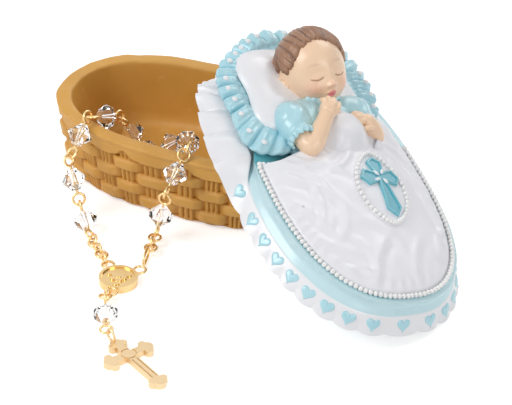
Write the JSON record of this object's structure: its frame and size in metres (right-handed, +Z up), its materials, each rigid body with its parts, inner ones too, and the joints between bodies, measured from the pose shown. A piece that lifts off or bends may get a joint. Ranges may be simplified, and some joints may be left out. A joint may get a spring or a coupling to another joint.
{
  "type": "rosary box",
  "caption": "Oval woven-look resin basket with a loose lid showing a sleeping baby under a quilt, and a one-decade crystal rosary hanging over the rim.",
  "frame": {"origin": "centre of the flat underside of the basket, on the table", "axes": "+X along the basket towards the lid, -Y towards the hanging rosary, +Z up"},
  "size_m": [0.1184, 0.1086, 0.052],
  "materials": {
    "tan_resin": "satin",
    "white_resin": "gloss",
    "blue_resin": "gloss",
    "teal_paint": "gloss",
    "pearl_white": "gloss",
    "skin_paint": "gloss",
    "hair_paint": "satin",
    "clear_crystal": "polished, faceted",
    "gold_metal": "polished gold plate"
  },
  "bodies": {
    "basket": {"basket": "tan_resin"},
    "lid": {"lid_base": "blue_resin", "lid_frill": "white_resin", "frill_hearts": "blue_resin", "pearl_trim": "pearl_white", "quilt": "white_resin", "cross_pearls": "pearl_white", "cross_badge": "teal_paint", "pillow_frill": "blue_resin", "pillow_dots": "white_resin", "pillow": "white_resin", "shirt": "blue_resin", "baby_head": "skin_paint", "baby_hair": "hair_paint", "right_arm": "skin_paint", "left_arm": "skin_paint"},
    "rosary": {"eye_pin_01": "gold_metal", "eye_pin_02": "gold_metal", "eye_pin_03": "gold_metal", "eye_pin_04": "gold_metal", "eye_pin_05": "gold_metal", "eye_pin_06": "gold_metal", "eye_pin_07": "gold_metal", "eye_pin_08": "gold_metal", "eye_pin_09": "gold_metal", "eye_pin_10": "gold_metal", "left_links": "gold_metal", "right_links": "gold_metal", "scroll_link": "gold_metal", "medal": "gold_metal", "medal_rose": "gold_metal", "pendant_links": "gold_metal"},
    "pendant": {"pendant_pin": "gold_metal"},
    "crucifix": {"crucifix": "gold_metal"},
    "bead_01": {"bead_01": "clear_crystal"},
    "bead_02": {"bead_02": "clear_crystal"},
    "bead_03": {"bead_03": "clear_crystal"},
    "bead_04": {"bead_04": "clear_crystal"},
    "bead_05": {"bead_05": "clear_crystal"},
    "bead_06": {"bead_06": "clear_crystal"},
    "bead_07": {"bead_07": "clear_crystal"},
    "bead_08": {"bead_08": "clear_crystal"},
    "bead_09": {"bead_09": "clear_crystal"},
    "bead_10": {"bead_10": "clear_crystal"},
    "pendant_bead": {"pendant_bead": "clear_crystal"}
  },
  "joints": [
    {"name": "lid_lift", "type": "slide", "parent": "basket", "child": "lid", "axis": [0, 0, 1], "range_m": [0, 0.08]},
    {"name": "rosary_lift", "type": "slide", "parent": "basket", "child": "rosary", "axis": [0, 0, 1], "range_m": [0, 0.12]},
    {"name": "bead_spin_01", "type": "hinge", "parent": "rosary", "child": "bead_01", "pos_m": [-0.01614, -0.03449, 0.00316], "axis": [-0.6359, 0.7552, 0.159], "continuous": true},
    {"name": "bead_spin_02", "type": "hinge", "parent": "rosary", "child": "bead_02", "pos_m": [-0.02182, -0.02934, 0.01068], "axis": [-0.3242, 0.1621, 0.932], "continuous": true},
    {"name": "bead_spin_03", "type": "hinge", "parent": "rosary", "child": "bead_03", "pos_m": [-0.0235, -0.0224, 0.01928], "axis": [0, 0.8503, 0.5264], "continuous": true},
    {"name": "bead_spin_04", "type": "hinge", "parent": "rosary", "child": "bead_04", "pos_m": [-0.02146, -0.01188, 0.01909], "axis": [0.2882, 0.8646, -0.4117], "continuous": true},
    {"name": "bead_spin_05", "type": "hinge", "parent": "rosary", "child": "bead_05", "pos_m": [-0.01796, -0.00459, 0.01089], "axis": [0.2882, 0.4117, -0.8646], "continuous": true},
    {"name": "bead_spin_06", "type": "hinge", "parent": "rosary", "child": "bead_06", "pos_m": [-0.01244, -0.00801, 0.00882], "axis": [0.5618, -0.7624, 0.321], "continuous": true},
    {"name": "bead_spin_07", "type": "hinge", "parent": "rosary", "child": "bead_07", "pos_m": [-0.00398, -0.01055, 0.01486], "axis": [0.7687, 0.2023, 0.6068], "continuous": true},
    {"name": "bead_spin_08", "type": "hinge", "parent": "rosary", "child": "bead_08", "pos_m": [0.00291, -0.0156, 0.02032], "axis": [0.4066, -0.8538, 0.3252], "continuous": true},
    {"name": "bead_spin_09", "type": "hinge", "parent": "rosary", "child": "bead_09", "pos_m": [0.00442, -0.0258, 0.01765], "axis": [-0.0797, -0.7975, -0.5981], "continuous": true},
    {"name": "bead_spin_10", "type": "hinge", "parent": "rosary", "child": "bead_10", "pos_m": [0.00255, -0.03029, 0.00752], "axis": [-0.2038, -0.0408, -0.9782], "continuous": true},
    {"name": "pendant_swing", "type": "hinge", "parent": "rosary", "child": "pendant", "pos_m": [0.00308, -0.06185, 0.00304], "axis": [-0.8826, -0.4702, 0], "range_deg": [0, 45]},
    {"name": "pendant_bead_spin", "type": "hinge", "parent": "pendant", "child": "pendant_bead", "pos_m": [0.00615, -0.06765, 0.00305], "axis": [0.47, -0.8823, -0.0247], "continuous": true},
    {"name": "crucifix_swing", "type": "hinge", "parent": "pendant", "child": "crucifix", "pos_m": [0.01028, -0.07373, 0.0029], "axis": [-0.497, -0.8678, 0], "range_deg": [0, 60]}
  ]
}
